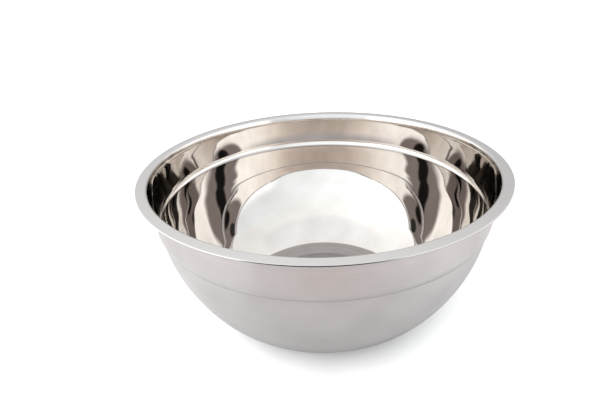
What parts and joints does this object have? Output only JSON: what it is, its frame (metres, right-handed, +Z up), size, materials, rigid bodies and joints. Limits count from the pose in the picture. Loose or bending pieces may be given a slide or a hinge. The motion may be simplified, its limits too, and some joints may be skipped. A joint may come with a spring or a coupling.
{
  "type": "mixing bowl",
  "caption": "Round stainless steel mixing bowl with a flat hemmed lip, a pressed step below the rim, a deep curved wall and a flat base with a raised middle.",
  "frame": {"origin": "middle of the standing surface, on the bowl's axis", "axes": "+Z up along the bowl's axis, out of its mouth; the bowl is round, so +X and +Y are free, and +Y points away from the picture's viewer"},
  "size_m": [0.28, 0.28, 0.122],
  "materials": {
    "satin_rim": "satin stainless steel, lathe-polished round the rim",
    "polished_sheet": "stainless steel, mirror-polished inside and fine satin outside"
  },
  "bodies": {
    "root": {"rim_hem": "satin_rim", "rim_lip": "satin_rim", "upper_band": "polished_sheet", "step_shoulder": "polished_sheet", "lower_wall": "polished_sheet", "base_curve": "polished_sheet", "base_plate": "polished_sheet"}
  },
  "joints": []
}
